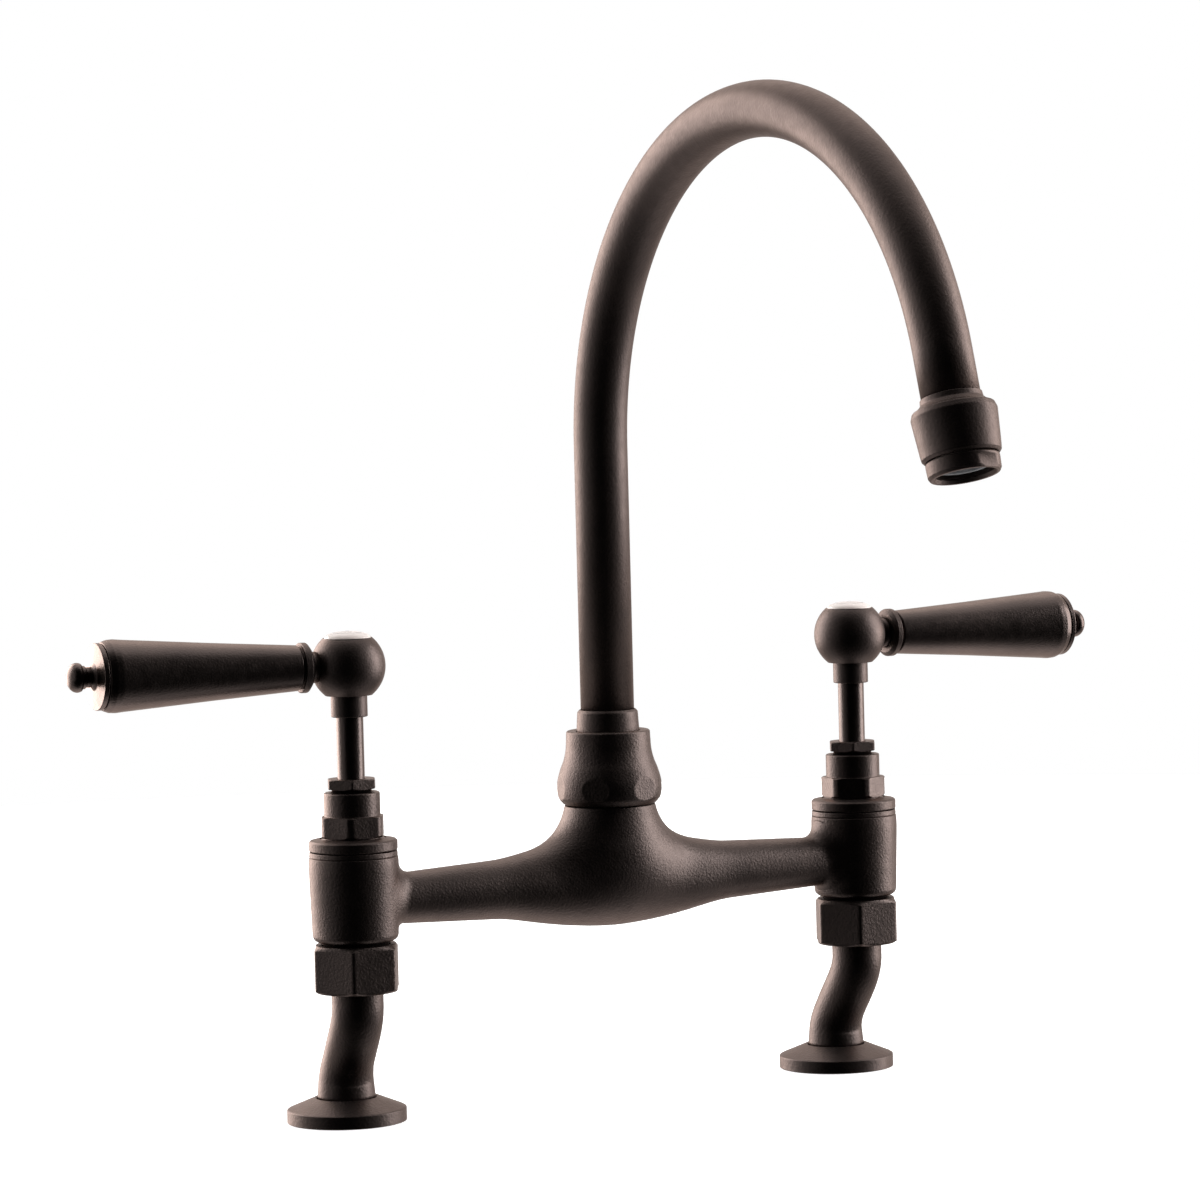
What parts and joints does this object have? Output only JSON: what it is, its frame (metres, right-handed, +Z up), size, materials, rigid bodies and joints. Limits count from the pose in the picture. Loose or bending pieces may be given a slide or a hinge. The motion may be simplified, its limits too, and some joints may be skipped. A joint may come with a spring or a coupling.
{
  "type": "bridge kitchen faucet",
  "caption": "Bridge kitchen faucet in dark bronze: gooseneck spout on a swivel nut, lever handles with ball hubs, cranked legs and deck flanges.",
  "frame": {"origin": "on the deck surface, midway between the two valve barrels; the flanges' undersides lie in the plane Z = 0", "axes": "+X along the bridge from the left valve to the right one as the user sees them, -Y toward the user, where the spout points at rest, +Z up"},
  "size_m": [0.4045, 0.2784, 0.3537],
  "materials": {
    "bronze_cast": "dark oil-rubbed coating with fine orange peel over brass, satin to matt",
    "bronze_satin": "the same dark coating, smoother, semi-gloss",
    "porcelain": "off-white glazed porcelain",
    "steel": "plain turned steel",
    "black_rubber": "moulded black rubber",
    "nylon": "natural nylon",
    "valve_ceramic": "lapped white ceramic",
    "aerator_plastic": "grey moulded plastic",
    "fibre": "red fibre washer"
  },
  "bodies": {
    "faucet": {"bridge_body": "bronze_cast", "swivel_nut": "bronze_cast", "swivel_washer": "nylon", "bonnet_left": "bronze_cast", "bonnet_disc_left": "bronze_cast", "gland_nut_left": "bronze_cast", "union_nut_left": "bronze_cast", "leg_left": "bronze_cast", "deck_flange_left": "bronze_cast", "gland_packing_left": "black_rubber", "seat_seal_left": "black_rubber", "base_gasket_left": "black_rubber", "fixed_disc_left": "valve_ceramic", "union_washer_left": "fibre", "bonnet_right": "bronze_cast", "bonnet_disc_right": "bronze_cast", "gland_nut_right": "bronze_cast", "union_nut_right": "bronze_cast", "leg_right": "bronze_cast", "deck_flange_right": "bronze_cast", "gland_packing_right": "black_rubber", "seat_seal_right": "black_rubber", "base_gasket_right": "black_rubber", "fixed_disc_right": "valve_ceramic", "union_washer_right": "fibre"},
    "lever_left": {"spindle_left": "bronze_satin", "turning_disc_left": "valve_ceramic", "lever_hub_left": "bronze_satin", "hub_screw_left": "steel", "index_disc_left": "porcelain", "lever_stud_left": "bronze_satin", "lever_collar_left": "bronze_satin", "lever_grip_left": "bronze_satin", "lever_finial_left": "bronze_satin"},
    "lever_right": {"spindle_right": "bronze_satin", "turning_disc_right": "valve_ceramic", "lever_hub_right": "bronze_satin", "hub_screw_right": "steel", "index_disc_right": "porcelain", "lever_stud_right": "bronze_satin", "lever_collar_right": "bronze_satin", "lever_grip_right": "bronze_satin", "lever_finial_right": "bronze_satin"},
    "spout": {"spout_tube": "bronze_satin", "spout_ferrule": "bronze_satin", "nozzle_bell": "bronze_satin", "aerator_seal": "black_rubber", "aerator_ring": "bronze_satin", "aerator_insert": "aerator_plastic"}
  },
  "joints": [
    {"name": "lever_left_turn", "type": "hinge", "parent": "faucet", "child": "lever_left", "pos_m": [-0.1016, 0, 0.1594], "axis": [0, 0, 1], "range_deg": [0, 90]},
    {"name": "lever_right_turn", "type": "hinge", "parent": "faucet", "child": "lever_right", "pos_m": [0.1016, 0, 0.1594], "axis": [0, 0, -1], "range_deg": [0, 90]},
    {"name": "spout_swivel", "type": "hinge", "parent": "faucet", "child": "spout", "pos_m": [0, 0, 0.12], "axis": [0, 0, 1], "continuous": true}
  ]
}
